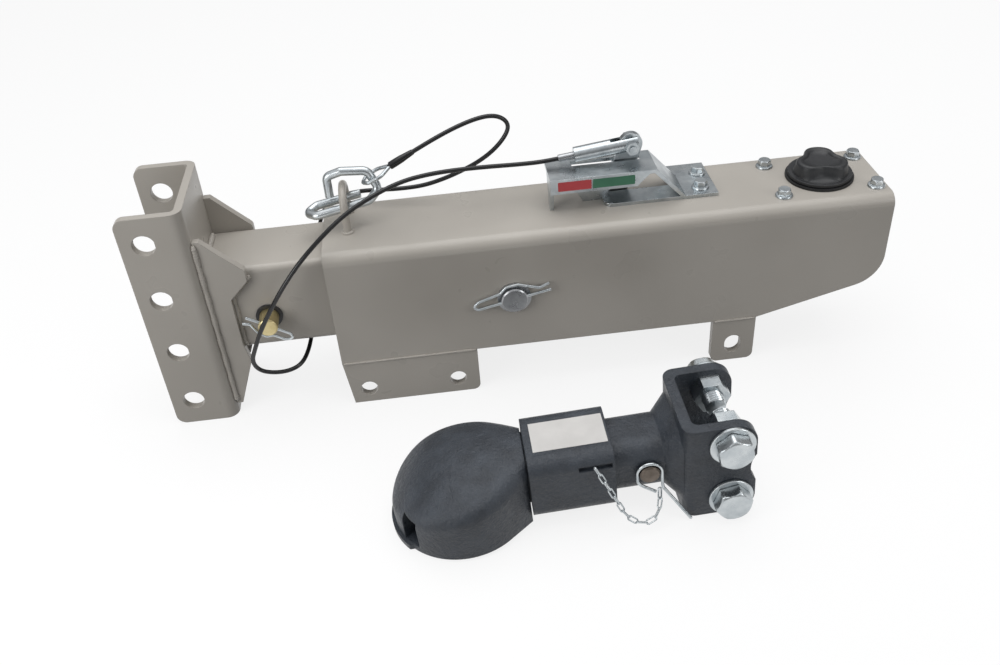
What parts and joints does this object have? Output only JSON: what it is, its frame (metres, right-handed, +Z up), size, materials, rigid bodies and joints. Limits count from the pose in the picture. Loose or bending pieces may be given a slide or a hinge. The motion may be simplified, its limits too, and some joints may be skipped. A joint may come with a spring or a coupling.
{
  "type": "surge brake coupler",
  "caption": "Trailer surge brake coupler: tapered case, sliding inner tube with height channel, damper, master cylinder, breakaway lever and cable, and a loose coupler head.",
  "frame": {"origin": "on the underside of the case where it sits on the trailer tongue, midway between the two front bracket holes and on the middle plane", "axes": "+X rearward along the tongue, +Y to the side away from the loose coupler head, +Z up"},
  "size_m": [0.6028, 0.292, 0.2194],
  "materials": {
    "tan_paint": "satin primer paint",
    "zinc_plate": "bright zinc plate",
    "machined_steel": "turned steel",
    "yellow_zinc": "yellow zinc plate",
    "brown_steel": "bare steel with brown rust",
    "black_paint": "semi-gloss black",
    "dark_cast_paint": "semi-gloss paint over cast skin",
    "cast_iron": "as cast",
    "aluminium": "machined",
    "black_plastic": "satin",
    "black_rubber": "matt",
    "nylon": "satin",
    "cable_jacket": "gloss"
  },
  "bodies": {
    "case": {"case_shell": "tan_paint", "case_floor": "tan_paint", "front_brackets": "tan_paint", "rear_brackets": "tan_paint", "cable_arch": "tan_paint", "bottom_wear_pads": "nylon", "top_wear_pads": "nylon", "side_wear_pads": "nylon", "main_pin": "machined_steel", "main_pin_clip": "zinc_plate", "main_pin_washer": "machined_steel", "damper_rod": "machined_steel", "master_cylinder": "cast_iron", "cylinder_bolts": "zinc_plate", "cap_gasket": "black_rubber", "lever_ears": "tan_paint", "lever_pivot": "zinc_plate", "breakaway_bracket": "zinc_plate", "bracket_bolts": "zinc_plate", "breakaway_cable": "cable_jacket", "cable_sleeve": "cable_jacket", "cable_eye": "zinc_plate", "safety_hook": "zinc_plate", "return_spring": "machined_steel", "head_casting": "dark_cast_paint", "clevis_bolts": "zinc_plate", "clevis_washers": "zinc_plate", "clevis_nuts": "zinc_plate", "retainer_chain": "zinc_plate", "pin_bail": "zinc_plate", "clamp_pin": "machined_steel"},
    "inner_slide": {"slide_tube": "tan_paint", "slide_end_plate": "tan_paint", "channel_bracket": "tan_paint", "gussets": "tan_paint", "front_pin": "yellow_zinc", "front_pin_clip": "zinc_plate", "front_pin_washer": "black_paint", "damper_tube": "black_paint", "push_rod": "machined_steel", "push_rod_collar": "machined_steel", "piston": "aluminium", "piston_cup": "black_rubber"},
    "breakaway_lever": {"breakaway_lever": "zinc_plate"},
    "breakaway_link": {"link_tube": "zinc_plate", "link_bolt": "zinc_plate", "link_nut": "zinc_plate", "cable_ferrule": "machined_steel"},
    "fill_cap": {"filler_cap": "black_plastic"},
    "latch_sleeve": {"latch_sleeve": "dark_cast_paint"},
    "ball_clamp": {"ball_clamp": "dark_cast_paint"},
    "safety_pin": {"safety_pin": "brown_steel"}
  },
  "joints": [
    {"name": "slide_stroke", "type": "slide", "parent": "case", "child": "inner_slide", "axis": [1, 0, 0], "range_m": [0, 0.038], "deforming": ["return_spring"]},
    {"name": "lever_swing", "type": "hinge", "parent": "case", "child": "breakaway_lever", "pos_m": [0.1755, 0.011, 0.08], "axis": [0, -1, 0], "range_deg": [0, 34]},
    {"name": "link_pull", "type": "slide", "parent": "case", "child": "breakaway_link", "axis": [-1, 0, 0], "range_m": [0, 0.04103], "deforming": ["breakaway_cable"]},
    {"name": "cap_lift", "type": "slide", "parent": "case", "child": "fill_cap", "axis": [0, 0, 1], "range_m": [0, 0.03]},
    {"name": "sleeve_slide", "type": "slide", "parent": "case", "child": "latch_sleeve", "axis": [0.9988, 0, 0.0497], "range_m": [0, 0.014]},
    {"name": "clamp_swing", "type": "hinge", "parent": "case", "child": "ball_clamp", "pos_m": [0.06687, -0.182, -0.02884], "axis": [0, -1, 0], "range_deg": [0, 12.05]},
    {"name": "pin_pull", "type": "slide", "parent": "case", "child": "safety_pin", "axis": [0, 1, 0], "range_m": [0, 0.06]}
  ],
  "couplings": [
    {"joint": "link_pull", "follows": "lever_swing", "m_per_rad": 0.068977},
    {"joint": "clamp_swing", "follows": "sleeve_slide", "rad_per_m": 14.96}
  ]
}
